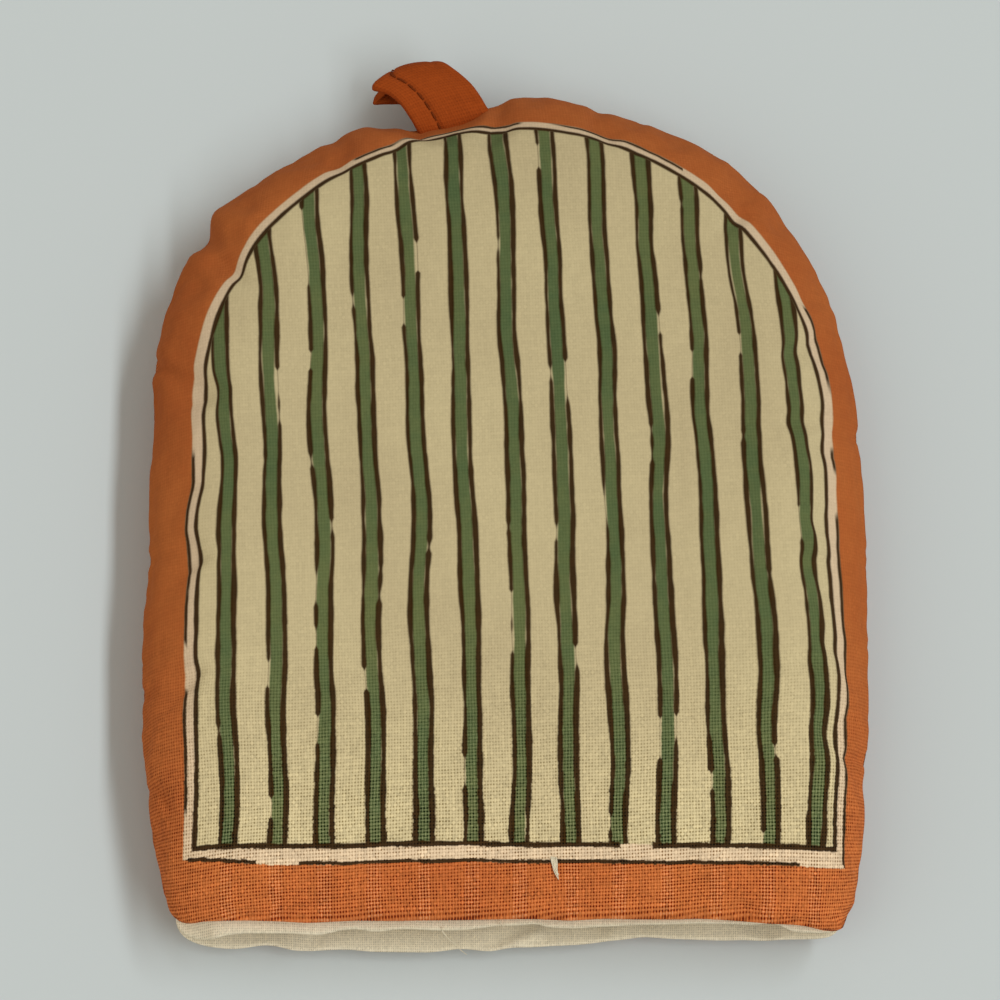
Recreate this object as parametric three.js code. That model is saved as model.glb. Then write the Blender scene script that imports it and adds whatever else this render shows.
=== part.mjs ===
// Egg cosy laid on its back, printed face up and mouth toward -Y. Two wadded panels are sewn
// together round the sides and dome, each has a thin lining that rolls out past the hem, and a
// folded tape stands in the top seam as a hanging loop. Millimetres, +Z up, resting on Z = 0.

import * as THREE from 'three';

// Outline in plan, from the hem at y = 0 to the top of the dome.
const halfWidth = 48.1; // where the sides turn into the dome
const springY = 66; // height of that turn above the hem
const domeRise = 50;
const domePower = 2.25; // 2 would be an ellipse, more is fuller
const sideBulge = 0.6;
const hemTuck = 3.6; // the sides draw in this far at the hem
const tuckHeight = 24;
const cornerRadius = 4;
const centre = new THREE.Vector2(0, 60); // the rings of each sheet close in on this point

// Dents and swellings of the sewn edge, each pulled toward the middle by its depth.
const puckers = [
  { place: 'seam drawn in by the loop', x: -8, y: 115.6, reach: 9, depth: 2.2 },
  { place: 'swelling right of the loop', x: 7, y: 116, reach: 6, depth: -0.9 },
  { place: 'full left shoulder', x: -44, y: 89, reach: 16, depth: -0.9 },
  { place: 'slack right shoulder', x: 43, y: 88, reach: 16, depth: 0.8 },
  { place: 'notch in the left shoulder', x: -41.5, y: 97, reach: 3.2, depth: 1.7 },
  { place: 'soft corner on the right', x: 33, y: 104.5, reach: 4, depth: -0.5 },
  { place: 'dip in the left side', x: -48.5, y: 50, reach: 5, depth: 0.5 },
  { place: 'dip low on the left', x: -48.5, y: 18, reach: 4, depth: 0.6 },
  { place: 'nick low on the right', x: 48.5, y: 22, reach: 3.5, depth: 0.7 },
];

// Heights above the surface it lies on, at the mouth and further up the body.
const seam = { mouthZ: 6.4, bodyZ: 6.9, run: 40, lip: 0.5 };
const front = { mouthZ: 12.4, bodyZ: 15.4, run: 26, sideFall: 0.7, roll: 14 };
const back = { roll: 9 };

// The pocket between the linings, as each lining's distance from the seam plane.
const pocket = { floor: 2.15, mouthRoof: 2.2, bodyRoof: 2.9, run: 30, roll: 12 };
const lining = { thickness: 1, gap: 0.5, sideInset: 2.4, frontLip: 1.2, backLip: 2 };
const wallStep = lining.thickness + lining.gap;
const seamGap = 0.3; // between the two panels at the sewn edge
const rollPower = 2.2; // roundness of every rolled edge

// The mesh: steps along each stretch of the outline, and rings as distances in from its edge.
const steps = { hem: 18, corner: 4, sewnEdge: 56, dense: 90, tapeBend: 8 };
const rimRings = [0, 0.6, 2.4];
const innerRings = [4.4, 7.4, 12, 20, 34];

// Hanging loop: a tape folded on itself, its two ends caught in the seam at the root.
const tape = { width: 9.4, thickness: 1.2, reach: 10.4, bend: 1.75 };
const eye = { height: 4.6, start: 1.3, corner: 0.6, bend: 0.8 };
const loopRoot = new THREE.Vector3(-7, 114.7, 6.9);
const widthHeading = 4; // degrees from +X, along the tape's width
const leanHeading = 133; // degrees from +X, the way the loop leans

const fabrics = {
  print: { color: 0xc6aa78, roughness: 0.95, metalness: 0 },
  orange: { color: 0xb05a2c, roughness: 0.95, metalness: 0 },
  lining: { color: 0xd9ccae, roughness: 0.9, metalness: 0 },
};

const { clamp, degToRad, lerp, smoothstep } = THREE.MathUtils;
const up = new THREE.Vector3(0, 0, 1);

// A rounded rise from 0 at the edge to 1 at the given width and beyond.
function roll(distance, width) {
  const rest = 1 - clamp(distance / width, 0, 1);
  return (1 - rest ** rollPower) ** (1 / rollPower);
}

function sideHalfWidth(y) {
  const bulge = sideBulge * Math.sin((Math.PI * (springY - y)) / springY);
  const tuck = hemTuck * Math.max(0, 1 - y / tuckHeight) ** 2;
  return halfWidth + bulge - tuck;
}

// The right half of the sewn edge, from lowY up the side and over to the top of the dome.
function rightEdge(lowY) {
  const points = [];
  for (let i = 0; i < steps.dense; i++) {
    const y = lerp(lowY, springY, i / steps.dense);
    points.push(new THREE.Vector2(sideHalfWidth(y), y));
  }
  for (let i = 0; i <= steps.dense; i++) {
    const angle = (Math.PI / 2) * (i / steps.dense);
    const across = Math.max(0, Math.cos(angle)) ** (2 / domePower);
    const rise = Math.sin(angle) ** (2 / domePower);
    points.push(new THREE.Vector2(halfWidth * across, springY + domeRise * rise));
  }
  return points;
}

// Both halves, from the right end over the dome to the left end.
function wholeEdge(lowY) {
  const right = rightEdge(lowY);
  const left = right.map((p) => new THREE.Vector2(-p.x, p.y)).reverse();
  return [...right, ...left.slice(1)].map(puckered);
}

function puckered(point) {
  const inward = centre.clone().sub(point).normalize();
  const depth = puckers.reduce((sum, p) => {
    const away = Math.hypot(point.x - p.x, point.y - p.y) / p.reach;
    return sum + p.depth * Math.exp(-away * away);
  }, 0);
  return point.clone().addScaledVector(inward, depth);
}

// Ribs round the closed outline of a panel, each with its inward normal and the distance, along
// that normal, to the centre.
function makeRibs() {
  const cornerX = sideHalfWidth(cornerRadius) - cornerRadius;
  const hem = new THREE.LineCurve(new THREE.Vector2(-cornerX, 0), new THREE.Vector2(cornerX, 0));
  const corner = (x, from) =>
    new THREE.EllipseCurve(x, cornerRadius, cornerRadius, cornerRadius, from, from + Math.PI / 2);
  const points = [
    ...hem.getSpacedPoints(steps.hem).slice(1),
    ...corner(cornerX, -Math.PI / 2).getSpacedPoints(steps.corner).slice(1),
    ...new THREE.Path(wholeEdge(cornerRadius)).getSpacedPoints(steps.sewnEdge).slice(1),
    ...corner(-cornerX, Math.PI).getSpacedPoints(steps.corner).slice(1),
  ];
  return points.map((point, i) => {
    const next = points[(i + 1) % points.length];
    const tangent = next.clone().sub(points.at(i - 1)).normalize();
    const normal = new THREE.Vector2(-tangent.y, tangent.x);
    return { point, normal, depth: centre.clone().sub(point).dot(normal) };
  });
}

const ribList = makeRibs();

// The point of the plan that lies a distance in from the outline on one rib.
const planPoint = (rib, inset) => rib.point.clone().lerp(centre, inset / rib.depth);

// The sewn edge, run straight down past the mouth at both ends, as segments.
const sewnEdge = wholeEdge(0);
const runOff = new THREE.Vector2(0, -20);
const ends = [sewnEdge[0].clone().add(runOff), sewnEdge.at(-1).clone().add(runOff)];
const edgeLine = [ends[0], ...sewnEdge, ends[1]].map((p) => new THREE.Vector3(p.x, p.y, 0));
const edgeSegments = edgeLine.slice(1).map((end, i) => new THREE.Line3(edgeLine[i], end));

// Distance from a point of the plan to the sewn edge. The open mouth isn't an edge.
function distanceToEdge(point) {
  const from = new THREE.Vector3(point.x, point.y, 0);
  const nearest = new THREE.Vector3();
  const distances = edgeSegments.map((s) => s.closestPointToPoint(from, true, nearest).distanceTo(from));
  return Math.min(...distances);
}

const seamZ = (y) => lerp(seam.mouthZ, seam.bodyZ, smoothstep(y, 0, seam.run));

// Height of each surface over a point p of the plan, d in from the sewn edge.
const surfaces = {
  frontTop(p, d) {
    const side = front.sideFall * (p.x / halfWidth) ** 2;
    const crown = lerp(front.mouthZ, front.bodyZ, roll(Math.max(0, p.y), front.run)) - side;
    return lerp(seamZ(p.y) + seamGap / 2 + seam.lip, crown, roll(d, front.roll));
  },
  frontUnder(p, d) {
    const rise = lerp(pocket.mouthRoof, pocket.bodyRoof, smoothstep(p.y, 0, pocket.run)) + wallStep;
    return seamZ(p.y) + seamGap / 2 + rise * roll(d, pocket.roll);
  },
  frontLiningTop: (p, d) => surfaces.frontUnder(p, d) - lining.gap,
  frontLiningUnder: (p, d) => surfaces.frontUnder(p, d) - wallStep,
  backTop: (p, d) => seamZ(p.y) - seamGap / 2 - (pocket.floor + wallStep) * roll(d, pocket.roll),
  backUnder: (p, d) => (seamZ(p.y) - seamGap / 2 - seam.lip) * (1 - roll(d, back.roll)),
  backLiningTop: (p, d) => surfaces.backTop(p, d) + wallStep,
  backLiningUnder: (p, d) => surfaces.backTop(p, d) + lining.gap,
};

// A closed sheet between two surfaces. The rings of a lathe, axis to rim on the underside and
// back to the axis on top, become rings of the outline. A ring is an inset or a function that
// gives one from the rib's normal.
function sheet(rings, top, under) {
  const outward = [...Array(rings.length + 1).keys()];
  const profile = [
    ...outward.map((r) => new THREE.Vector2(r, -1)),
    ...outward.toReversed().map((r) => new THREE.Vector2(r, 1)),
  ];
  const geometry = new THREE.LatheGeometry(profile, ribList.length);
  const position = geometry.getAttribute('position');
  for (let i = 0; i < position.count; i++) {
    const rib = ribList[Math.floor(i / profile.length) % ribList.length];
    const { x: ringNumber, y: face } = profile[i % profile.length];
    const ring = rings[rings.length - ringNumber];
    const inset = typeof ring === 'function' ? ring(rib.normal) : ring;
    const p = ringNumber === 0 ? centre : planPoint(rib, inset);
    const z = (face > 0 ? top : under)(p, distanceToEdge(p));
    position.setXYZ(i, p.x, p.y, z);
  }
  geometry.deleteAttribute('normal');
  geometry.deleteAttribute('uv');
  return geometry;
}

// A lining's rim lies inside the sewn edge and sticks out at the hem, the one stretch whose
// inward normal is +Y; the high power keeps it in at the rounded corners.
const cornerPower = 8;
const liningRim = (lip) => (normal) =>
  lerp(lining.sideInset, -lip, clamp(normal.y, 0, 1) ** cornerPower);

// The loop seen along its tape: out from the root, and up. The eye is the hole in it.
function loopShape() {
  const half = eye.height / 2 + tape.thickness;
  const bendX = tape.reach - tape.bend;
  const shape = new THREE.Shape();
  shape.moveTo(0, -tape.thickness);
  shape.quadraticCurveTo(0, -half, eye.start + tape.thickness, -half);
  shape.lineTo(bendX, -half);
  shape.absellipse(bendX, 0, tape.bend, half, -Math.PI / 2, Math.PI / 2, false);
  shape.lineTo(eye.start + tape.thickness, half);
  shape.quadraticCurveTo(0, half, 0, tape.thickness);
  shape.closePath();
  shape.holes.push(eyePath(bendX));
  return shape;
}

function eyePath(bendX) {
  const half = eye.height / 2;
  const path = new THREE.Path();
  path.moveTo(eye.start + eye.corner, -half);
  path.lineTo(bendX, -half);
  path.absellipse(bendX, 0, eye.bend, half, -Math.PI / 2, Math.PI / 2, false);
  path.lineTo(eye.start + eye.corner, half);
  path.lineTo(eye.start, half - eye.corner);
  path.lineTo(eye.start, eye.corner - half);
  path.closePath();
  return path;
}

// The shape drawn out over the tape's width, leaning one way while its root follows the seam.
function loopGeometry() {
  const geometry = new THREE.ExtrudeGeometry(loopShape(), {
    depth: tape.width,
    steps: 1,
    bevelEnabled: false,
    curveSegments: steps.tapeBend,
  });
  geometry.translate(0, 0, -tape.width / 2);
  const heading = (degrees) => new THREE.Vector3(1, 0, 0).applyAxisAngle(up, degToRad(degrees));
  const basis = new THREE.Matrix4().makeBasis(heading(leanHeading), up, heading(widthHeading));
  return geometry.applyMatrix4(basis);
}

function piece(name, geometry, fabric) {
  const mesh = new THREE.Mesh(geometry, new THREE.MeshStandardMaterial(fabric));
  mesh.name = name;
  return mesh;
}

const panelRings = [...rimRings, ...innerRings];
const frontLiningRings = [liningRim(lining.frontLip), ...innerRings];
const backLiningRings = [liningRim(lining.backLip), ...innerRings];
const frontPanel = sheet(panelRings, surfaces.frontTop, surfaces.frontUnder);
const backPanel = sheet(panelRings, surfaces.backTop, surfaces.backUnder);
const frontLining = sheet(frontLiningRings, surfaces.frontLiningTop, surfaces.frontLiningUnder);
const backLining = sheet(backLiningRings, surfaces.backLiningTop, surfaces.backLiningUnder);
const loop = piece('hanging_loop', loopGeometry(), fabrics.orange);
loop.position.copy(loopRoot);

const cosy = new THREE.Group();
cosy.add(
  piece('front_panel', frontPanel, fabrics.print),
  piece('back_panel', backPanel, fabrics.orange),
  piece('lining_front', frontLining, fabrics.lining),
  piece('lining_back', backLining, fabrics.lining),
  loop,
);

// The origin is the middle of the cosy's box in plan, on the surface it lies on.
const middle = new THREE.Box3().setFromObject(cosy).getCenter(new THREE.Vector3());
cosy.position.set(-middle.x, -middle.y, 0);

export default cosy;
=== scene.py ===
import math

import bpy
import numpy as np
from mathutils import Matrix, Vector


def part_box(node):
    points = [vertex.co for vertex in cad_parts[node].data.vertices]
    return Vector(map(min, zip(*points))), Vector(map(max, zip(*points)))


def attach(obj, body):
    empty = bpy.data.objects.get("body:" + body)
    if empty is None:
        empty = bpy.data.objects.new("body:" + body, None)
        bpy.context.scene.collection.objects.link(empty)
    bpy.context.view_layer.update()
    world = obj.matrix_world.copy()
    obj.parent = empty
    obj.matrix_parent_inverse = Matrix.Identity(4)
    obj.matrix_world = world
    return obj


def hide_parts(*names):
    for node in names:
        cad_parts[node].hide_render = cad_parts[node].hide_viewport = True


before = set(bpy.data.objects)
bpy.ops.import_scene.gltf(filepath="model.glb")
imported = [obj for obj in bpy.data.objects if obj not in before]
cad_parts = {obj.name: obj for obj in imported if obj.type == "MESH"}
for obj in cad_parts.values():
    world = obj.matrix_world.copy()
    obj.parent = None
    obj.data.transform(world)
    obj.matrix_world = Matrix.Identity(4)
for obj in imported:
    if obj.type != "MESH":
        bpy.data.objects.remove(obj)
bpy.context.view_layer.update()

# A padded egg cosy lying on its back: a block-printed front, a plain back, a thin lining that
# rolls out at the mouth, and a tape loop in the top seam. Shapes are worked out in millimetres,
# with y measured from the hem, and placed in the frame's metres at the end.

mm = 0.001
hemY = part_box("front_panel")[0].y / mm  # where the hem lies in the frame


def smoothStep(value, low, high):
    # 0 below low, 1 above high, and an S-curve between
    t = np.clip((value - low) / (high - low), 0, 1)
    return t * t * (3 - 2 * t)


def mix(a, b, share):
    return a + (b - a) * share


def bell(distance, width):
    return np.exp(-((distance / width) ** 2))


def table(columns, *rows):
    # One dictionary for each row, its values under the columns' names
    return [dict(zip(columns, row)) for row in rows]


def softNoise(x, y, size, seed):
    # Random heights from -1 to 1 on a square lattice, blended with S-curves between the corners
    lattice = np.random.default_rng(seed).uniform(-1, 1, (64, 64))
    u, v = np.asarray(x) / size + 31.7, np.asarray(y) / size + 17.3
    i, j = np.floor(u).astype(int), np.floor(v).astype(int)
    fu, fv = smoothStep(u - i, 0, 1), smoothStep(v - j, 0, 1)

    def corner(a, b):
        return lattice[(i + a) % 64, (j + b) % 64]

    return mix(mix(corner(0, 0), corner(1, 0), fu), mix(corner(0, 1), corner(1, 1), fu), fv)


def roll(distance, width, power=2.2):
    # A rounded rise from 0 at the edge to 1 at the given width: a quarter of a superellipse
    rest = 1 - np.clip(distance / width, 0, 1)
    return (1 - rest**power) ** (1 / power)


def spaced(line, count):
    # Evenly spaced points along an open line
    length = np.append(0, np.cumsum(np.hypot(*np.diff(line, axis=0).T[:2])))
    at = np.linspace(0, length[-1], count)
    return np.stack([np.interp(at, length, column) for column in line.T], 1)


def softTable(at, places, values, softness=0.7):
    # A table read at any place: straight between its rows, averaged over a short window
    offsets = np.linspace(-1.5, 1.5, 7)
    weights = np.exp(-(offsets**2))
    reads = [np.interp(at + o * softness, places, values) * w for o, w in zip(offsets, weights)]
    return sum(reads) / weights.sum()


def addPiece(name, points, faces, clothUv=None, uvFaces=None):
    # Points come in the shapes' millimetres. clothUv lists places on the flat cloth, and uvFaces
    # picks one for each corner of each face; without it the faces' own numbers do.
    mesh = bpy.data.meshes.new(name)
    placed = (np.asarray(points, float) + [0, hemY, 0]) * mm
    mesh.from_pydata(placed.tolist(), [], faces)
    if clothUv is not None:
        corners = np.concatenate([np.asarray(face) for face in (uvFaces or faces)])
        layer = mesh.uv_layers.new(name="cloth")
        layer.data.foreach_set("uv", np.asarray(clothUv, np.float32)[corners].ravel())
    mesh.polygons.foreach_set("use_smooth", np.ones(len(mesh.polygons), bool))
    mesh.update()
    piece = bpy.data.objects.new(name, mesh)
    bpy.context.scene.collection.objects.link(piece)
    return piece


def ringQuads(count, ring, first=0, turned=False):
    # Quads between neighbouring closed rings of points; turned faces them the other way
    row = np.arange(ring)
    nextRow = np.roll(row, -1)
    band = np.arange(count - 1)[:, None] * ring + first
    corners = [band + row, band + ring + row, band + ring + nextRow, band + nextRow]
    return np.stack(corners[:1] + corners[:0:-1] if turned else corners, 2)


def sleeveFaces(count, ring):
    # A closed sleeve: the quads round it and one face over each end
    row = np.arange(ring)
    ends = [row[::-1].tolist(), (row + (count - 1) * ring).tolist()]
    return ringQuads(count, ring, turned=True).reshape(-1, 4).tolist() + ends


print("stage: outline")

outline = {
    "halfWidth": 48.1,  # where the sides turn into the dome
    "springY": 66,
    "domeRise": 50,
    "domePower": 2.25,
    "sideBulge": 0.6,
    "hemTuck": 3.6,
    "tuckHeight": 24,
    "middle": np.array([0.0, 60.0]),  # rings close in on this point
}

# Pulls on the sewn edge: place, how far around it the cloth follows, and how deep it goes
pinches = table(
    ("at", "reach", "depth"),
    ((-8, 115.6), 9, 2.2),  # the loop's root
    ((-10.2, 115.4), 4.6, 1.35),
    ((3.6, 116.4), 6, -1.15),
    ((17.5, 111), 11, 0.5),
    ((-24.5, 106), 8, 1.1),
    ((-40.3, 98.8), 4.2, -1.6),
    ((-48.8, 68.5), 4, 0.5),
    ((-48.8, 35), 18, -0.3),
    ((-46.5, 6), 8, 0.5),
    ((46.5, 3), 5, -0.8),
    ((47.5, 79), 4, 0.4),
    ((48.6, 56), 12, -0.25),
    ((-44, 89), 16, -0.9),
    ((43, 88), 16, 0.8),
    ((-41.5, 97), 3.2, 1.7),  # the notch in the left shoulder
    ((39, 97), 5, 0.3),
    ((-14.7, 113.6), 3.4, 1.0),
    ((-48.5, 50), 5, 0.5),
    ((-48.5, 18), 5, 0.75),
    ((48.5, 20), 4, 0.85),
    ((-48.8, 31), 3, 0.35),
    ((48.3, 67.5), 3.4, 0.35),
    ((48.2, 9), 5, -0.35),
)

# The hem line of the printed front, left to right. Most of its values weren't chosen by hand: a
# scratch program turned places seen on the photo into millimetres, and they are its output,
# rounded.
hemLine = {
    "x": [-43.9, -42, -37, -31, -26, -20, -6, 4, 8.5, 13, 25, 31, 38, 42, 44.4],
    "y": [-0.1, -0.6, -0.6, -0.8, -1.0, -0.6, -0.5, -0.3, -0.6, -0.3, -0.3, -0.5, -0.9, -1.2, -0.9],
}


def sewnEdge(lowY, count=260):
    # From the right end, up the bulged and tucked side, over a superellipse dome, and down the left
    y = np.linspace(lowY, outline["springY"], count, endpoint=False)
    bulge = outline["sideBulge"] * np.sin(np.pi * (outline["springY"] - y) / outline["springY"])
    tuck = outline["hemTuck"] * np.maximum(0, 1 - y / outline["tuckHeight"]) ** 2
    side = np.stack([outline["halfWidth"] + bulge - tuck, y], 1)
    turn = np.linspace(0, np.pi / 2, count)
    share = 2 / outline["domePower"]
    across = outline["halfWidth"] * np.maximum(0, np.cos(turn)) ** share
    dome = np.stack([across, outline["springY"] + outline["domeRise"] * np.sin(turn) ** share], 1)
    right = np.concatenate([side, dome])
    return np.concatenate([right, (right * [-1, 1])[-2::-1]])


def pinched(x, y):
    # Every pull draws the cloth around it towards the middle, fading as a bell curve
    newX, newY = x.copy(), y.copy()
    for pinch in pinches:
        pull = outline["middle"] - pinch["at"]
        pull = pull / np.hypot(*pull) * pinch["depth"]
        share = bell(np.hypot(x - pinch["at"][0], y - pinch["at"][1]), pinch["reach"])
        newX += pull[0] * share
        newY += pull[1] * share
    return newX, newY


edgeLine = np.concatenate([[[44.5, -20]], sewnEdge(0), [[-44.5, -20]]])
edgeSteps = np.diff(edgeLine, axis=0)
edgeLengths = np.hypot(*edgeSteps.T)
edgeStarts = np.append(0, np.cumsum(edgeLengths))[:-1]
edgeOut = np.stack([edgeSteps[:, 1], -edgeSteps[:, 0]], 1) / edgeLengths[:, None]
edgeCorners = np.concatenate([edgeOut[:1], edgeOut[1:] + edgeOut[:-1], edgeOut[-1:]])
edgeCorners /= np.hypot(*edgeCorners.T)[:, None]


def toEdge(x, y):
    # For each point: the distance to the sewn edge, the place along it and the way out across it
    shape = x.shape
    points = np.stack([x.ravel(), y.ravel()], 1)
    distance, along, out = [], [], []
    for block in np.array_split(points, max(1, len(points) // 4000)):
        offset = block[:, None] - edgeLine[None, :-1]
        share = np.clip((offset * edgeSteps).sum(2) / edgeLengths**2, 0, 1)
        gap = np.hypot(*np.moveaxis(offset - share[..., None] * edgeSteps, 2, 0))
        nearest = gap.argmin(1)
        rows = np.arange(len(block))
        part = share[rows, nearest]
        distance.append(gap[rows, nearest])
        along.append(edgeStarts[nearest] + part * edgeLengths[nearest])
        out.append(mix(edgeCorners[nearest], edgeCorners[nearest + 1], part[:, None]))
    return (
        np.concatenate(distance).reshape(shape),
        np.concatenate(along).reshape(shape),
        np.concatenate(out).reshape(*shape, 2),
    )


class Plan:
    # Rings of a closed outline in plan: ribs run from it to the middle, and an inset is a distance
    # in from the outline, given per rib.
    def __init__(self, line, ribs):
        closed = spaced(np.concatenate([line, line[:1]]), ribs + 1)[:-1]
        for _ in range(2):  # rounds the corners a little
            closed = (np.roll(closed, 1, 0) + 2 * closed + np.roll(closed, -1, 0)) / 4
        ahead = np.roll(closed, -1, 0) - np.roll(closed, 1, 0)
        inward = np.stack([-ahead[:, 1], ahead[:, 0]], 1) / np.hypot(*ahead.T)[:, None]
        self.rim = closed
        self.depth = ((outline["middle"] - closed) * inward).sum(1)
        self.edgeGap = toEdge(closed[:, 0], closed[:, 1])[0]

    def ring(self, inset):
        share = (inset / self.depth)[:, None]
        return self.rim + (outline["middle"] - self.rim) * share

    def rings(self, insets, inner, last=0.985):
        # Rings at these insets, then evenly on to near the middle
        start = insets[-1] / self.depth
        shares = [mix(start, last, k / inner) for k in range(1, inner + 1)]
        return np.stack([self.ring(i) for i in insets] + [self.ring(s * self.depth) for s in shares])


def closedSheet(name, rings, topUv, underUv):
    # rings run from the middle of the top, over the rim, to the middle of the underside; each
    # middle is closed by a fan. The two lists of flat places meet at the rim.
    count, ribs = rings.shape[:2]
    top = len(topUv)
    points = np.concatenate([rings[:1].mean(1), rings.reshape(-1, 3), rings[-1:].mean(1)])
    uv = np.concatenate(
        [topUv[:1].mean(1), topUv.reshape(-1, 2), underUv.reshape(-1, 2), underUv[-1:].mean(1)]
    )
    row = np.arange(ribs)
    nextRow = np.roll(row, -1)
    quads = ringQuads(count, ribs, 1)
    quadUv = quads + (np.arange(count - 1) >= top - 1)[:, None, None] * ribs
    last = 1 + (count - 1) * ribs
    capTop = np.stack([np.zeros(ribs, int), 1 + row, 1 + nextRow], 1)
    capUnder = np.stack([np.full(ribs, last + ribs), last + nextRow, last + row], 1)
    faces = quads.reshape(-1, 4).tolist() + capTop.tolist() + capUnder.tolist()
    uvFaces = quadUv.reshape(-1, 4).tolist() + capTop.tolist() + (capUnder + ribs).tolist()
    return addPiece(name, points, faces, uv, uvFaces)


def gridNormals(rings):
    # The way out of the surface at each point, from its neighbours on the rings and ribs
    around = np.roll(rings, -1, 1) - np.roll(rings, 1, 1)
    outward = np.gradient(rings, axis=0)
    normal = np.cross(outward, around)
    return normal / np.maximum(np.linalg.norm(normal, axis=2, keepdims=True), 1e-9)


print("stage: padded panels")

panel = {
    "ribs": 640,
    "rollRings": 24,
    "innerRings": 42,
    "hiddenRings": 10,
    "seamDepth": 0.9,  # the stitches lie this far in from the bulging sides
    "seamHalf": 0.14,
    "bulgeZ": 1.0,  # the widest part, above or below the seam
    "foldRadius": 1.25,  # plan radius of the fold at the hem
    "frontRoll": 14,
    "backRoll": 9,
    "mouthZ": 12.0,
    "bodyZ": 15.4,
    "crownRun": 28,  # how far up from the hem the crown takes to rise
    "sideFall": 0.7,
    "wallGap": 0.15,  # from the seam's level to each wall
    "frontRise": (2.2, 2.9),  # the inner wall over the seam, at the mouth and further up
    "backRise": 2.15,
    "wallRun": 12,
    "wallStep": 1.5,  # lining and its slack
}

# Creases in the padded front: from one point to another, half width, depth
frontCreases = table(
    ("from", "to", "width", "depth"),
    ((-47.5, 77.5), (-43.6, 73), 0.8, 0.45),
    ((-42.3, 96.5), (-38.6, 93.4), 1.7, 0.75),
    ((-43, 99.5), (-38.5, 100.5), 1.3, 0.3),
    ((-47.6, 17.5), (-43.8, 12.5), 0.7, 0.4),
    ((-48.4, 50), (-44.8, 49), 0.9, 0.3),
    ((-48.3, 31), (-45, 30), 0.8, 0.25),
    ((48.4, 22), (45.6, 21), 0.8, 0.4),
    ((48, 67.5), (44.8, 66.5), 0.9, 0.3),
    ((33.5, 104.5), (31, 100.5), 1.6, 0.12),
    ((-13.2, 113.4), (-12.4, 111), 1.2, 0.5),
    ((-1.2, 114.8), (-1.6, 111.2), 1.1, 0.45),
    ((13, 115), (12.4, 112), 1.0, 0.25),
    ((-24, 111), (-22.6, 107.5), 1.0, 0.25),
)


def seamZ(x, y):
    level = mix(6.4, 6.9, smoothStep(y, 0, 40))
    return level + 0.22 * softNoise(x, y, 13, 5) * smoothStep(y, 2, 12)


def frontOuter(x, y, d):
    crown = mix(panel["mouthZ"], panel["bodyZ"], roll(np.maximum(y + 1.6, 0), panel["crownRun"]))
    crown = crown - panel["sideFall"] * (x / outline["halfWidth"]) ** 2
    return mix(seamZ(x, y) + panel["bulgeZ"], crown, roll(d, panel["frontRoll"]))


def frontInner(x, y, d):
    rise = mix(*panel["frontRise"], smoothStep(y, 0, 30)) + panel["wallStep"]
    return seamZ(x, y) + panel["wallGap"] + rise * roll(d, panel["wallRun"])


def backOuter(x, y, d):
    return (seamZ(x, y) - panel["bulgeZ"]) * (1 - roll(d, panel["backRoll"]))


def backInner(x, y, d):
    rise = panel["backRise"] + panel["wallStep"]
    return seamZ(x, y) - panel["wallGap"] - rise * roll(d, panel["wallRun"])


def seamGathers(along, reach, seed=11):
    # Small troughs that run in from the stitching, unevenly spaced along it
    rng = np.random.default_rng(seed)
    total = edgeStarts[-1] + edgeLengths[-1]
    relief = np.zeros_like(along)
    at = 22.0
    while at < total - 22:
        width, depth = rng.uniform(0.5, 1.3), rng.uniform(0.02, 0.15)
        length = rng.uniform(1.6, 5.5)
        relief -= depth * bell(along - at, width) * (1 - smoothStep(reach, 0.2, length))
        shoulder = bell(np.abs(along - at) - 2 * width, width)
        relief += 0.3 * depth * shoulder * (1 - smoothStep(reach, 0, length))
        at += rng.uniform(2.2, 7.5)
    return relief


def creaseRelief(x, y, creases):
    # A soft trough along each crease with a low shoulder on either side, fading at its ends
    relief = np.zeros_like(x)
    for crease in creases:
        start = np.array(crease["from"], float)
        run = np.array(crease["to"], float) - start
        share = ((x - start[0]) * run[0] + (y - start[1]) * run[1]) / (run @ run)
        held = np.clip(share, 0, 1)
        gap = np.hypot(x - start[0] - held * run[0], y - start[1] - held * run[1])
        fade = 1 - smoothStep(share, 0.35, 1.25)
        trough = bell(gap, crease["width"]) - 0.35 * bell(gap - 2 * crease["width"], crease["width"])
        relief -= crease["depth"] * trough * fade
    return relief


def wadding(x, y, seed):
    # The filling's slow swells, with a few smaller ones
    swell = 0.22 * softNoise(x, y, 19, seed) + 0.12 * softNoise(x, y, 8, seed + 1)
    return swell + 0.035 * softNoise(x, y, 3.1, seed + 2)


# Where the print lies askew on the cloth: place, how far around, and its shift
printShifts = table(
    ("at", "reach", "move"),
    ((45.5, 35), 15, (1.2, 0)),
    ((44, 72), 8, (-0.5, 0)),
    ((45.5, 21), 5, (0.6, 0)),
    ((35, 94), 14, (-0.9, -0.9)),
    ((20, 107), 10, (0, -0.7)),
    ((6, 112), 6, (0, -0.5)),
    ((-11.5, 110.5), 5, (0, 1.0)),
    ((-18, 108.8), 5, (0, -0.9)),
    ((-42, 63), 7, (0.8, 0)),
    ((-43, 53.5), 5, (-0.7, 0)),
    ((-43, 12), 10, (0.6, 0)),
    ((-35.5, 94), 6, (-0.3, 0.3)),
    ((-39.5, 90), 4, (0.5, -0.5)),
    ((39.5, 88), 8, (-0.4, -0.4)),
)


def askew(places):
    # The same places with the shifts taken off, so that the print on them moves along
    straight = places.copy()
    for shift in printShifts:
        gap = np.hypot(places[..., 0] - shift["at"][0], places[..., 1] - shift["at"][1])
        straight -= bell(gap, shift["reach"])[..., None] * np.array(shift["move"], float)
    return straight


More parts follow.
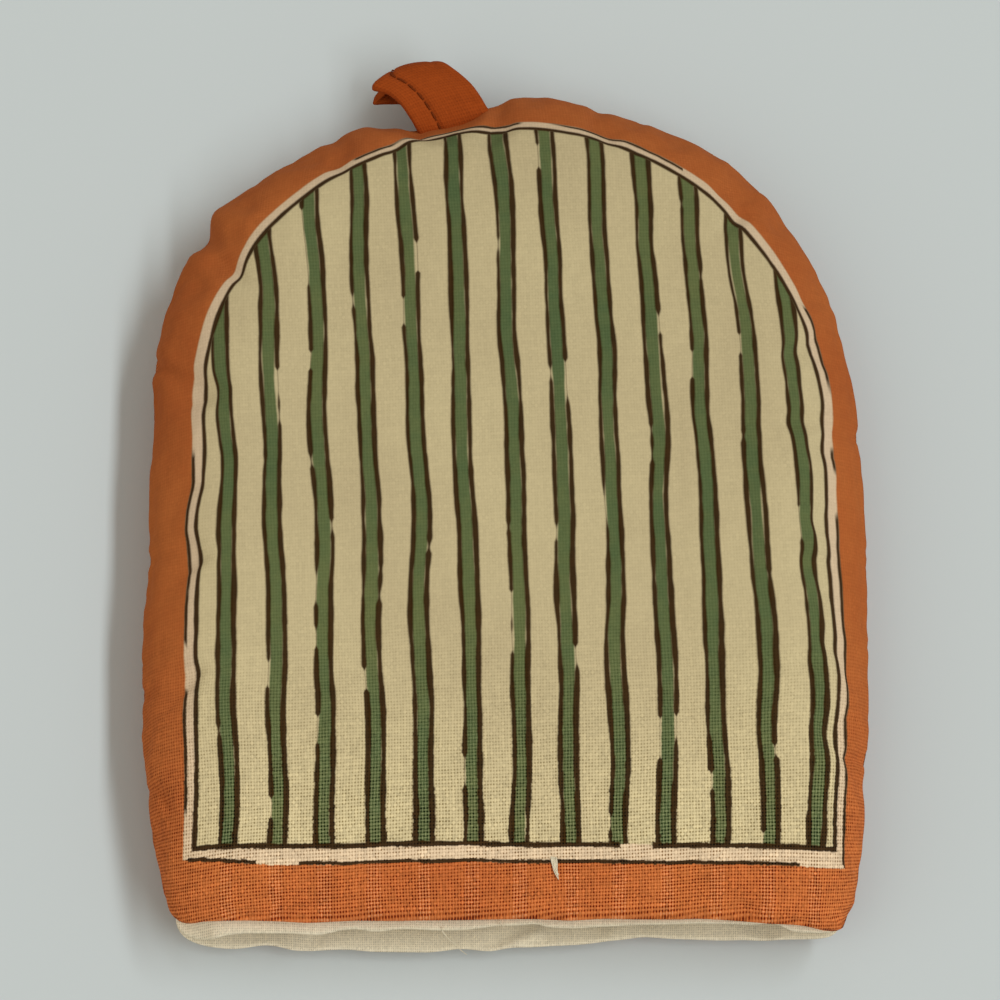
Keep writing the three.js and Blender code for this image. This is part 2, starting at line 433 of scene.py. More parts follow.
def flatPlaces(x, y, d, out, width, height):
    # Where the cloth of a rolled edge lies once it's pulled flat: points on the roll move out by
    # the length that the roll takes up
    turn = np.linspace(0, np.pi / 2, 300)
    inset = width * (1 - np.cos(turn) ** (2 / 2.2))
    rise = height * np.sin(turn) ** (2 / 2.2)
    steps = np.hypot(np.diff(inset), np.diff(rise))
    toCrown = np.append(np.cumsum(steps[::-1])[::-1], 0)
    extra = np.interp(d, inset, toCrown - (width - inset))
    return np.stack([x, y], -1) + out * extra[..., None]


def frontHem(x):
    return softTable(x, hemLine["x"], hemLine["y"], 0.5)


def backHem(x):
    # The back's hem hides behind its lining, more so at the corners
    return frontHem(x) + mix(0.7, 2.6, smoothStep(np.abs(x), 34, 43))


padding = {
    "scale": 10,  # the solver works on a piece ten times the size, in metres
    "ribStep": 4,
    "ringStep": 2,
    "inward": 30,  # how far in from the sewn edge the cloth is free to move
    "fullness": 0.022,  # the cloth is cut this much too full for its stitching
    "pressure": 3.0,
    "frames": 20,
    "most": 0.7,
}


def padOut(rings, inset):
    # Blender's cloth solver on every fourth rib and second ring: pressure from the filling, cloth
    # a little too full for its stitching, held at the seam and in the middle. Returns how far each
    # point of the whole grid moves, in millimetres.
    scale, ribStep, ringStep = padding["scale"] * mm, padding["ribStep"], padding["ringStep"]
    first = int(np.argmax(inset.mean(1) < padding["inward"]))
    rows = np.arange(len(rings) - 1, first, -ringStep)[::-1]
    start = rings[rows][:, ::ribStep]
    count, ribs = start.shape[:2]
    mesh = bpy.data.meshes.new("padding")
    quads = ringQuads(count, ribs).reshape(-1, 4).tolist()
    mesh.from_pydata((start.reshape(-1, 3) * scale).tolist(), [], quads)
    trial = bpy.data.objects.new("padding", mesh)
    bpy.context.scene.collection.objects.link(trial)
    held = trial.vertex_groups.new(name="held")
    held.add(list(range(ribs)) + list(range((count - 2) * ribs, count * ribs)), 1.0, "REPLACE")
    cloth = trial.modifiers.new("cloth", "CLOTH")
    settings = cloth.settings
    settings.quality = 6
    settings.mass = 0.3
    settings.tension_stiffness = settings.compression_stiffness = 15
    settings.shear_stiffness = 5
    settings.bending_stiffness = 0.35
    settings.vertex_group_mass = "held"
    settings.use_pressure = True
    settings.uniform_pressure_force = padding["pressure"]
    settings.shrink_min = -padding["fullness"]
    settings.effector_weights.gravity = 0
    cloth.point_cache.frame_start, cloth.point_cache.frame_end = 1, padding["frames"]
    for number in range(1, padding["frames"] + 1):
        bpy.context.scene.frame_set(number)
    settled = trial.evaluated_get(bpy.context.evaluated_depsgraph_get()).data
    places = np.empty(count * ribs * 3)
    settled.vertices.foreach_get("co", places)
    bpy.data.objects.remove(trial)
    bpy.context.scene.frame_set(1)
    moved = places.reshape(count, ribs, 3) / scale - start
    print("  padding moved up to", round(float(np.linalg.norm(moved, axis=2).max()), 2), "mm")
    # Back to the whole grid: straight blends along the ribs, then across the rings
    around = np.concatenate([moved, moved[:, :1]], 1)
    at = np.arange(rings.shape[1]) / ribStep
    low = at.astype(int)
    blend = (at - low)[None, :, None]
    wide = around[:, low] * (1 - blend) + around[:, low + 1] * blend
    at = np.interp(np.arange(len(rings)), rows, np.arange(count))
    low = np.minimum(at.astype(int), count - 2)
    blend = (at - low)[:, None, None]
    whole = wide[low] * (1 - blend) + wide[low + 1] * blend
    whole[: rows[0]] = 0
    for _ in range(2):
        whole = (np.roll(whole, 1, 1) + 2 * whole + np.roll(whole, -1, 1)) / 4
        whole[1:-1] = (whole[:-2] + 2 * whole[1:-1] + whole[2:]) / 4
    size = np.linalg.norm(whole, axis=2, keepdims=True)
    kept = mix(1, 0.35, smoothStep(inset, 7, 22))[..., None]
    return whole * kept * np.minimum(1, padding["most"] / np.maximum(size, 1e-6))


def paddedPanel(name, outer, inner, hem, facing, rollWidth, rollHeight, creases, seed):
    # facing is 1 for the front and -1 for the back. The rings start at the middle of the outer
    # face and roll over the side; two more tuck in under the bulge to the stitches, and the rest
    # cross the hidden face.
    hemX = np.linspace(hemLine["x"][0], hemLine["x"][-1], 400)
    hemEdge = np.stack([hemX, hem(hemX)], 1)
    plan = Plan(np.concatenate([hemEdge, sewnEdge(hemEdge[-1, 1] + 1.9)]), panel["ribs"])
    turns = np.linspace(0, np.pi / 2, panel["rollRings"] + 1)
    insets = [np.full(panel["ribs"], rollWidth * (1 - np.cos(t) ** (2 / 2.2))) for t in turns]
    outerPlan = plan.rings(insets, panel["innerRings"])[::-1]
    hemShare = smoothStep(plan.edgeGap, 0.3, 5)
    tuckTurns = np.radians([28, 58])
    tuckPlan = [
        plan.ring(mix(panel["seamDepth"] * share, panel["foldRadius"] * (1 - np.cos(turn)), hemShare))
        for share, turn in zip((0.35, 1), tuckTurns)
    ]
    firstHidden = panel["seamDepth"] + 1.6
    hidden = [np.full(panel["ribs"], firstHidden + k * 3.2) for k in range(4)]
    hiddenPlan = plan.rings(hidden, panel["hiddenRings"])
    flat = np.concatenate([outerPlan, tuckPlan, hiddenPlan])
    x, y = flat[..., 0], flat[..., 1]
    d, along, out = toEdge(x, y)

    outerZ, innerZ = outer(x, y, d), inner(x, y, d)
    middle, half = (outerZ + innerZ) / 2, np.abs(outerZ - innerZ) / 2
    hemGap = y - hem(x)
    fold = np.clip(hemGap / panel["foldRadius"], 0, 1)
    rounded = half * np.sqrt(np.maximum(0, 1 - (1 - fold) ** 2))
    nearMouth = smoothStep(d, 0, 1.5)
    z = middle + facing * mix(half, rounded, nearMouth)
    count = len(outerPlan)
    seam = seamZ(x, y)
    for k, (share, turn) in enumerate(zip((0.45, 0), tuckTurns)):
        row = count + k
        atSeam = seam[row] + facing * mix(panel["seamHalf"], panel["bulgeZ"], share)
        atHem = middle[row] - facing * half[row] * math.sin(turn)
        z[row] = mix(atSeam, atHem, hemShare)
    hiddenRows = slice(count + 2, None)
    z[hiddenRows] = (middle - facing * mix(half, rounded, nearMouth))[hiddenRows]

    rings = np.stack([x, y, z], 2)
    reach = np.where(np.arange(len(x))[:, None] < count, d, 0) + np.abs(z - seam) * 0.7
    relief = seamGathers(along, reach) * (1 - smoothStep(d, 4, 9))
    relief = relief + creaseRelief(x, y, creases) + wadding(x, y, seed) * smoothStep(d, 0.5, 12)
    relief[count + 1 :] = 0
    rings = rings + gridNormals(rings) * relief[..., None]
    top = count + 2
    rings[:top] += padOut(rings[:top], d[:top])
    if facing < 0:
        rings[..., 2] = np.maximum(rings[..., 2], 0)
    pulledX, pulledY = pinched(rings[..., 0], rings[..., 1])
    pull = np.stack([pulledX - rings[..., 0], pulledY - rings[..., 1]], 2)
    rings[..., :2] += pull
    topUv = (flatPlaces(x, y, d, out, rollWidth, rollHeight) + 0.92 * pull)[:top]
    if facing > 0:
        topUv = askew(topUv)
    mirrored = np.stack([x, -y], 2)[top - 1 :]
    if facing < 0:
        rings = rings[:, ::-1]
        topUv, mirrored = topUv[:, ::-1], mirrored[:, ::-1]
    piece = closedSheet(name, rings, topUv, mirrored)
    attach(piece, "root")
    return piece


frontPanel = paddedPanel(
    "front_panel_cloth", frontOuter, frontInner, frontHem, 1, panel["frontRoll"], 8, frontCreases, 21
)
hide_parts("front_panel")

backCreases = table(
    ("from", "to", "width", "depth"),
    ((-46, 60), (-36, 56), 1.2, 0.3),
    ((45, 40), (37, 44), 1.2, 0.3),
)
backPanel = paddedPanel(
    "back_panel_cloth", backOuter, backInner, backHem, -1, panel["backRoll"], 5.7, backCreases, 41
)
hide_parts("back_panel")

print("stage: linings")

lining = {
    "ribs": 560,
    "thickness": 0.8,
    "gap": 0.12,  # to the panel over or under it
    "mouthInset": 0.8,  # in from the sewn edge at the mouth's corners
    "seamInset": 1.9,  # and further up, where the panels' stitches hide it
    "innerRings": 26,
    "droop": 3.2,  # how far in from the lip the cloth starts to hang
}

# The rolled lip of the front lining, left to right: place, how far out, and its height. Most of
# the places and distances come from the same scratch program as the hem line's, and the heights
# were typed by hand.
frontLip = {
    "x": [-44.2, -43.9, -43, -41.5, -40, -39, -37.5, -35, -28, -24.5, -22, -20, -17.5, -13.5, -9, -5]
    + [-2, 2.5, 4, 5.5, 9.5, 15, 26, 33, 35.5, 37, 38, 40.5, 42.5, 43.9, 44.3],
    "y": [0.6, -0.6, -1.3, -1.8, -2.1, -2.4, -1.9, -1.7, -1.7, -1.9, -1.3, -1.1, -1.5, -1.1, -1.3, -1.2]
    + [-0.8, -0.6, -0.4, -0.9, -1.0, -0.7, -0.4, -0.6, -0.3, -0.9, -1.4, -1.4, -1.1, -0.6, 0.6],
    "z": [6.7, 6.3, 5.7, 5.7, 6.4, 7.5, 8.4, 8.7, 8.8, 8.6, 8.9, 9.1, 8.7, 9.0, 8.8, 8.8]
    + [9.0, 9.1, 9.2, 8.8, 8.8, 9.0, 9.2, 9.0, 9.2, 8.9, 8.3, 8.1, 7.2, 6.5, 6.7],
}

# The same for the back lining, from the same source
backLip = {
    "x": [-44.2, -43.9, -43, -41.5, -40, -38, -36, -34, -32, -30, -28.5, -24, -21, -18, -10, -6]
    + [-2, 1, 9.5, 16, 18, 22, 29, 38, 41, 43, 43.9, 44.3],
    "y": [0.6, -0.7, -1.4, -1.9, -2.2, -2.4, -2.5, -2.2, -1.9, -2.2, -2.7, -2.6, -2.5, -2.8, -2.9, -2.4]
    + [-2.8, -2.3, -1.9, -1.2, -0.8, -1.1, -1.3, -1.2, -1.1, -1.0, -0.6, 0.6],
    "z": [6.0, 5.4, 4.4, 3.7, 3.3, 3.1, 3.1, 3.2, 3.3, 3.2, 3.0, 3.0, 3.1, 3.0, 3.0, 3.2]
    + [3.0, 3.2, 3.2, 3.3, 3.4, 3.3, 3.1, 3.2, 3.5, 4.3, 5.4, 6.0],
}

liningFolds = table(
    ("from", "to", "width", "depth"),
    ((4.6, -0.2), (-2.4, -3.4), 0.7, -0.45),
    ((34.5, -0.2), (31, 6), 1.6, 0.6),
    ((-26, -1.5), (-20, 9), 1.4, 0.35),
    ((14, -1), (19, 7), 1.5, -0.3),
)


def liningSheet(name, lip, inner, facing, folds, seed):
    # The lining follows its panel's inner face, closes on the other lining at the side seams, and
    # droops to the lip; its rim is half round.
    x = np.linspace(lip["x"][0], lip["x"][-1], 700)
    hem = np.stack([x, softTable(x, lip["x"], lip["y"], 0.3)], 1)
    side = sewnEdge(1.4)
    out = toEdge(side[:, 0], side[:, 1])[2]
    sideInset = mix(lining["mouthInset"], lining["seamInset"], smoothStep(side[:, 1], 2, 9))
    plan = Plan(np.concatenate([hem, side - out * sideInset[:, None]]), lining["ribs"])
    half = lining["thickness"] / 2
    turns = np.radians([0, 30, 55, 75, 90])
    insets = [np.full(lining["ribs"], half * (1 - math.cos(t))) for t in turns]
    insets += [np.full(lining["ribs"], step) for step in (0.8, 1.4, 2.1, 3, 4.2, 6, 9, 13, 18)]
    flat = plan.rings(insets, lining["innerRings"])
    x, y = flat[..., 0], flat[..., 1]
    d = toEdge(x, y)[0]
    level = seamZ(x, y)
    follow = inner(x, y, d) - facing * (lining["gap"] + half)
    z = mix(level + facing * 0.45, follow, smoothStep(d, 0.6, 4))
    lipGap = y - softTable(x, lip["x"], lip["y"], 0.3)
    lipZ = softTable(x, lip["x"], lip["z"], 0.3)
    z = mix(lipZ, z, smoothStep(lipGap, -0.5, lining["droop"]))
    inside = smoothStep(lipGap, 2, 14)
    z = z + creaseRelief(x, y, folds) * smoothStep(d, 1, 4)
    z = z - facing * (0.25 + 0.25 * softNoise(x, y, 9, seed)) * inside * smoothStep(d, 2, 9)
    thick = np.zeros(len(z))
    thick[: len(turns)] = np.sin(turns)
    thick[len(turns) :] = 1
    upper = np.stack([x, y, z + half * thick[:, None]], 2)
    lower = np.stack([x, y, z - half * thick[:, None]], 2)
    rings = np.concatenate([upper[::-1], lower[1:]])
    rings[..., 0], rings[..., 1] = pinched(rings[..., 0], rings[..., 1])
    uv = np.stack([x, y], 2)
    piece = closedSheet(name, rings, uv[::-1], uv)
    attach(piece, "root")
    return piece


frontLining = liningSheet("lining_front_cloth", frontLip, frontInner, 1, [], 61)
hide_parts("lining_front")
backLining = liningSheet("lining_back_cloth", backLip, backInner, -1, liningFolds, 71)
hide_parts("lining_back")

print("stage: hanging loop")

# The tape's middle line from the seam, out under, round the bend and back over to the seam:
# place, height, which way its width points, and how far its middle bows out along the lean
loopTape = {
    "x": [-5.5, -6.5, -8.2, -10.2, -12.1, -13.4, -13.7, -13.5, -12.7, -11.2, -9.6, -8.4, -7.4, -6.8, -6.6],
    "y": [112.4, 113.6, 115.4, 117.4, 118.8, 119.4, 119.7, 119.6, 119.0]
    + [117.8, 116.2, 114.5, 112.8, 111.7, 111.0],
    "z": [6.6, 6.0, 5.4, 5.0, 4.8, 5.2, 6.6, 8.2, 9.5, 10.1, 10.3, 10.2, 9.8, 9.0, 7.8],
    "heading": [13, 13, 13, 13, 25, 28, 22, 18, 17, 16, 16, 16, 15, 15, 15],
    "bow": [0, 0, 0.2, 0.5, 0.8, 1.0, 1.1, 1.0, 0.9, 0.7, 0.4, 0.2, 0, 0, 0],
    "tuck": [1.0, 1.2, 1.5, 1.5, 0.3, -0.4, 3.4, 1.9, -0.8, -0.2, 0, 0, 0, 0, 0],  # in from the left edge
    "width": 10.3,
    "thickness": 1.1,
    "crown": 0.35,
    "stitchAt": -2.1,  # the topstitching, from the tape's middle
    "leanHeading": 133,
}


def smoothPath(keys, count):
    # A Catmull-Rom curve through the rows of keys
    points = np.concatenate([[2 * keys[0] - keys[1]], keys, [2 * keys[-1] - keys[-2]]])
    at = np.linspace(0, len(keys) - 1, count)
    i = np.minimum(at.astype(int), len(keys) - 2)
    t = (at - i)[:, None]
    a, b, c, d = (points[i + k] for k in range(4))
    return 0.5 * (2 * b + (c - a) * t + (2 * a - 5 * b + 4 * c - d) * t**2 + (3 * b - a - 3 * c + d) * t**3)


def tapeSurface(keys, across, lift):
    # A strip: along its path, and across its width; lift is a height off the middle surface.
    # across has the width places in millimetres, one for each point of the section.
    path, heading, bow = keys[:, :3], np.radians(keys[:, 3]), keys[:, 4]
    width = np.stack([np.cos(heading), np.sin(heading), np.zeros(len(keys))], 1)
    run = np.gradient(path, axis=0)
    normal = np.cross(run, width)
    normal /= np.linalg.norm(normal, axis=1, keepdims=True)
    lean = math.radians(loopTape["leanHeading"])
    out = np.array([math.cos(lean), math.sin(lean), 0])
    share = across / (loopTape["width"] / 2)
    tucked = across + keys[:, 5:6] * ((1 - share) / 2) ** 2.5
    place = path[:, None] + width[:, None] * tucked[..., None]
    place = place + out * (bow[:, None] * (1 - share**2))[..., None]
    return place + normal[:, None] * lift[..., None]


def hangingLoop():
    keys = np.stack([loopTape[k] for k in ("x", "y", "z", "heading", "bow", "tuck")], 1).astype(float)
    keys = spaced(smoothPath(keys, 240), 110)
    run = np.linspace(0, 1, len(keys))[:, None]
    half, thin = loopTape["width"] / 2, loopTape["thickness"] / 2
    flat = np.linspace(-1, 1, 40)
    # The section goes across the outer face, round the fold, back across the inner face
    turn = np.linspace(np.pi / 2, -np.pi / 2, 9)[1:-1]
    upper = flat * (half - thin)
    foldOut, foldLift = half - thin + thin * np.cos(turn), thin * np.sin(turn)
    level = np.full(len(flat), thin)
    section = np.concatenate([upper, foldOut, upper[::-1], -foldOut])
    lift = np.concatenate([level, foldLift, -level, -foldLift])
    outer = lift > 0
    groove = -0.34 * bell(section - loopTape["stitchAt"], 0.38)
    groove = groove - 0.12 * bell(section + loopTape["stitchAt"] - 1.6, 0.3)
    crown = loopTape["crown"] * (1 - (section / half) ** 2)
    swell = 0.09 * softNoise(run * 26 + 4, section[None, :], 3.4, 81)
    lift = lift + crown + swell + np.where(outer, groove, 0)
    surface = tapeSurface(keys, section + 0 * run[0], np.broadcast_to(lift, (len(keys), len(section))))
    length = np.append(0, np.cumsum(np.linalg.norm(np.diff(keys[:, :3], axis=0), axis=1)))
    uv = np.stack(np.broadcast_arrays(section[None, :], length[:, None]), 2).reshape(-1, 2)
    faces = sleeveFaces(*surface.shape[:2])
    return addPiece("loop_tape", surface.reshape(-1, 3), faces, uv), keys, length[-1]


def tube(path, radius, sides=7):
    # Rings of a round thread along a path; the radius may change, and both ends are closed
    run = np.gradient(path, axis=0)
    run /= np.linalg.norm(run, axis=1, keepdims=True)
    side = np.cross(run, [0.13, 0.21, 0.97])
    side /= np.linalg.norm(side, axis=1, keepdims=True)
    other = np.cross(run, side)
    turn = np.linspace(0, 2 * np.pi, sides, endpoint=False)
    radius = np.broadcast_to(radius, len(path))[:, None, None]
    circle = side[:, None] * np.cos(turn)[None, :, None] + other[:, None] * np.sin(turn)[None, :, None]
    points = (path[:, None] + circle * radius).reshape(-1, 3)
    return points, sleeveFaces(len(path), sides)


def joinTubes(name, tubes):
    points, faces, start = [], [], 0
    for tubePoints, tubeFaces in tubes:
        points.append(tubePoints)
        faces += [[start + k for k in face] for face in tubeFaces]
        start += len(tubePoints)
    points = np.concatenate(points)
    return addPiece(name, points, faces, points[:, :2])


def loopStitches(keys, length):
    # Short machine stitches sunk in the groove, one after the other along the outer face
    pitch = 1.5
    at = np.append(0, np.cumsum(np.linalg.norm(np.diff(keys[:, :3], axis=0), axis=1)))
    tubes = []
    for k in range(int(length / pitch)):
        ends = np.linspace(k * pitch + 0.15, (k + 1) * pitch - 0.15, 8)
        part = np.stack([np.interp(ends, at, column) for column in keys.T], 1)
        arch = 0.16 * np.sin(np.linspace(0, np.pi, 8))[:, None]
        lift = loopTape["thickness"] / 2 + loopTape["crown"] - 0.36 + arch
        path = tapeSurface(part, np.array([loopTape["stitchAt"]]), lift)[:, 0]
        tubes.append(tube(path, 0.11))
    return joinTubes("loop_stitches", tubes)


loop, loopKeys, loopLength = hangingLoop()
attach(loop, "root")
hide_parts("hanging_loop")
stitches = loopStitches(loopKeys, loopLength)
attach(stitches, "root")

print("stage: materials")


class Wire:
    # A socket that adds Math nodes when it's used in a sum
    def __init__(self, nodes, socket):
        self.nodes, self.socket = nodes, socket

    def sum(self, operation, *others):
        return self.nodes.add("ShaderNodeMath", {"operation": operation}, dict(enumerate([self, *others])))

    def __add__(self, other):
        return self.sum("ADD", other)

    def __sub__(self, other):
        return self.sum("SUBTRACT", other)

    def __mul__(self, other):
        return self.sum("MULTIPLY", other)

    def __truediv__(self, other):
        return self.sum("DIVIDE", other)

    def __rsub__(self, other):
        return self.nodes.add("ShaderNodeMath", {"operation": "SUBTRACT"}, {0: other, 1: self})

    __radd__, __rmul__ = __add__, __mul__

    def floor(self):
        return self.sum("FLOOR")

    def part(self):
        return self.sum("FRACT")

    def size(self):
        return self.sum("ABSOLUTE")

    def power(self, exponent):
        return self.sum("POWER", exponent)

    def above(self, other):
        return self.sum("MAXIMUM", other)

    def below(self, other):
        return self.sum("MINIMUM", other)

    def sine(self):
        return self.sum("SINE")

    def step(self, low, high):
        # 0 below low, 1 above high, with an S-curve between; low may be the greater
        return self.nodes.add(
            "ShaderNodeMapRange",
            {"interpolation_type": "SMOOTHSTEP"},
            {"Value": self, "From Min": low, "From Max": high},
        )


class Nodes:
    # One material's node tree
    def __init__(self, name):
        self.material = bpy.data.materials.new(name)
        self.material.use_nodes = True
        self.tree = self.material.node_tree
        self.tree.nodes.clear()

    def add(self, kind, settings=None, inputs=None, output=0):
        node = self.tree.nodes.new(kind)
        for key, value in (settings or {}).items():
            setattr(node, key, value)
        for key, value in (inputs or {}).items():
            if isinstance(value, Wire):
                self.tree.links.new(value.socket, node.inputs[key])
            else:
                node.inputs[key].default_value = value
        return Wire(self, node.outputs[output])

    def vector(self, x, y, z=0.0):
        return self.add("ShaderNodeCombineXYZ", None, {"X": x, "Y": y, "Z": z})

    def parts(self, wire, kind="ShaderNodeSeparateXYZ"):
        node = self.add(kind, None, {0: wire}).socket.node
        return [Wire(self, socket) for socket in node.outputs]

    def noise(self, place, scale=1.0, detail=0.0, color=False):
        # Soft noise around 0, or its three channels; scale is in features per unit of place
        wire = self.add(
            "ShaderNodeTexNoise",
            {"noise_dimensions": "3D"},
            {"Vector": place, "Scale": scale, "Detail": detail, "Roughness": 0.5},
            1 if color else 0,
        )
        if not color:
            return wire - 0.5
        return [channel - 0.5 for channel in self.parts(wire, "ShaderNodeSeparateColor")]

    def random(self, place):
        return self.add("ShaderNodeTexWhiteNoise", {"noise_dimensions": "3D"}, {"Vector": place})

    def mixed(self, share, first, second, blend="MIX"):
        settings = {"data_type": "RGBA", "blend_type": blend}
        return self.add("ShaderNodeMix", settings, {0: share, 6: first, 7: second}, 2)

    def finish(self, color, height, bumpDistance, roughness=0.9):
        relief = {"Strength": 1.0, "Distance": bumpDistance, "Height": height}
        normal = self.add("ShaderNodeBump", None, relief)
        values = {"Base Color": color, "Roughness": roughness, "Normal": normal, "Specular IOR Level": 0.08}
        shader = self.add("ShaderNodeBsdfPrincipled", None, values)
        output = self.tree.nodes.new("ShaderNodeOutputMaterial")
        self.tree.links.new(shader.socket, output.inputs["Surface"])
        return self.material


def linear(red, green, blue):
    # A paint-chart colour, 0 to 255, as the renderer's light values
    def one(value):
        value = value / 255
        return value / 12.92 if value <= 0.04045 else ((value + 0.055) / 1.055) ** 2.4

    return (one(red), one(green), one(blue), 1.0)


class Weave:
    # Plain weave on the piece's flat cloth places: a is across the warps and b across the wefts
    def __init__(self, nodes, warp, weft, slope=0.0, lean=0.0, sway=0.0, weftShare=1.0):
        self.nodes = nodes
        self.warp, self.weft = warp, weft
        place = nodes.add("ShaderNodeUVMap", {"uv_map": "cloth"})
        self.x, self.y, _ = nodes.parts(place)
        swayA, swayB, _ = nodes.noise(nodes.vector(self.x, self.y), 0.06, 1.0, True)
        self.a = self.x + self.y * self.y * lean + swayA * sway
        self.b = self.y - self.x * slope + swayB * sway
        self.warpAt, self.weftAt = self.a / warp, self.b / weft
        self.warpCell, self.weftCell = self.warpAt.floor(), self.weftAt.floor()
        streakA = nodes.noise(nodes.vector(self.warpCell * 3.7, self.b * 0.16, 2.0), 1.0, 2.0)
        streakB = nodes.noise(nodes.vector(self.a * 0.16, self.weftCell * 3.7, 9.0), 1.0, 2.0)
        # Thread relief: parabolas across the warps and wefts, the one on top changing at each cell
        inA = (self.warpAt.part() - 0.5) * (2.2 - streakA * 1.6)
        inB = (self.weftAt.part() - 0.5) * (2.1 - streakB * 1.6)
        farA, farB = inA * inA, inB * inB
        over = (self.warpAt * math.pi).sine() * (self.weftAt * math.pi).sine()
        warpUp = (1 - farA).above(0) * (over * 0.42 + 0.58)
        weftUp = (1 - farB).above(0) * (0.58 - over * 0.42) * weftShare
        self.height = warpUp.above(weftUp)
        # Holes where four threads meet, some wider than others, which take painted shade, and the threads'
        # own tones
        corner = nodes.random(nodes.vector((self.warpAt + 0.5).floor(), (self.weftAt + 0.5).floor(), 8.0))
        gather = nodes.noise(nodes.vector(self.x, self.y, 33.0), 0.22, 2.0)
        self.hole = (farA * farB).step(0.0, 0.4) * (corner * 0.85 + 0.4 + gather * 1.1)
        knuckle = nodes.random(nodes.vector(self.warpCell, self.weftCell, 6.0)) - 0.5
        self.tone = streakA * over.step(-0.3, 0.3) + streakB * over.step(0.3, -0.3) + knuckle * 0.3

    def shaded(self, color, depth):
        # Painted light and shade on the knuckles by their height, a tone for each thread, and painted shade
        # in the holes, where the colour is deepened and more saturated
        light = (self.height * 0.36 - 0.12) * depth + self.tone * (depth * 0.6 + 0.15) + 1
        color = self.nodes.mixed(1.0, color, self.nodes.vector(light, light, light), "MULTIPLY")
        holeShade = self.nodes.mixed(1.0, color, color, "MULTIPLY")
        holeShade = self.nodes.mixed(1.0, holeShade, (0.5, 0.5, 0.5, 1.0), "MULTIPLY")
        return self.nodes.mixed(self.hole * depth, color, holeShade)


printing = {
    "warp": 0.398,
    "weft": 0.458,
    "pitch": 6.48,
    "firstBar": -36.8,
    "lastBar": 12,
    "lineAt": 1.04,  # the brown edges, out from a bar's middle
    "greenHalf": 0.86,
    "archX": 1.15,
    "halfArch": 44.45,
    "spring": 68.0,
    "foot": 6.4,
    "sideBand": 1.85,  # bare cloth between the two outlines
    "footBand": 2.5,
    "cream": (linear(213, 195, 151), linear(199, 180, 140)),
    "bare": linear(222, 192, 162),
    "crestInkAndHighlight": linear(238, 216, 180),
    "green": (linear(84, 101, 64), linear(108, 114, 70)),
    "brown": (linear(42, 26, 4), linear(64, 37, 7)),
    "orange": (linear(192, 99, 48), linear(206, 116, 58)),
}


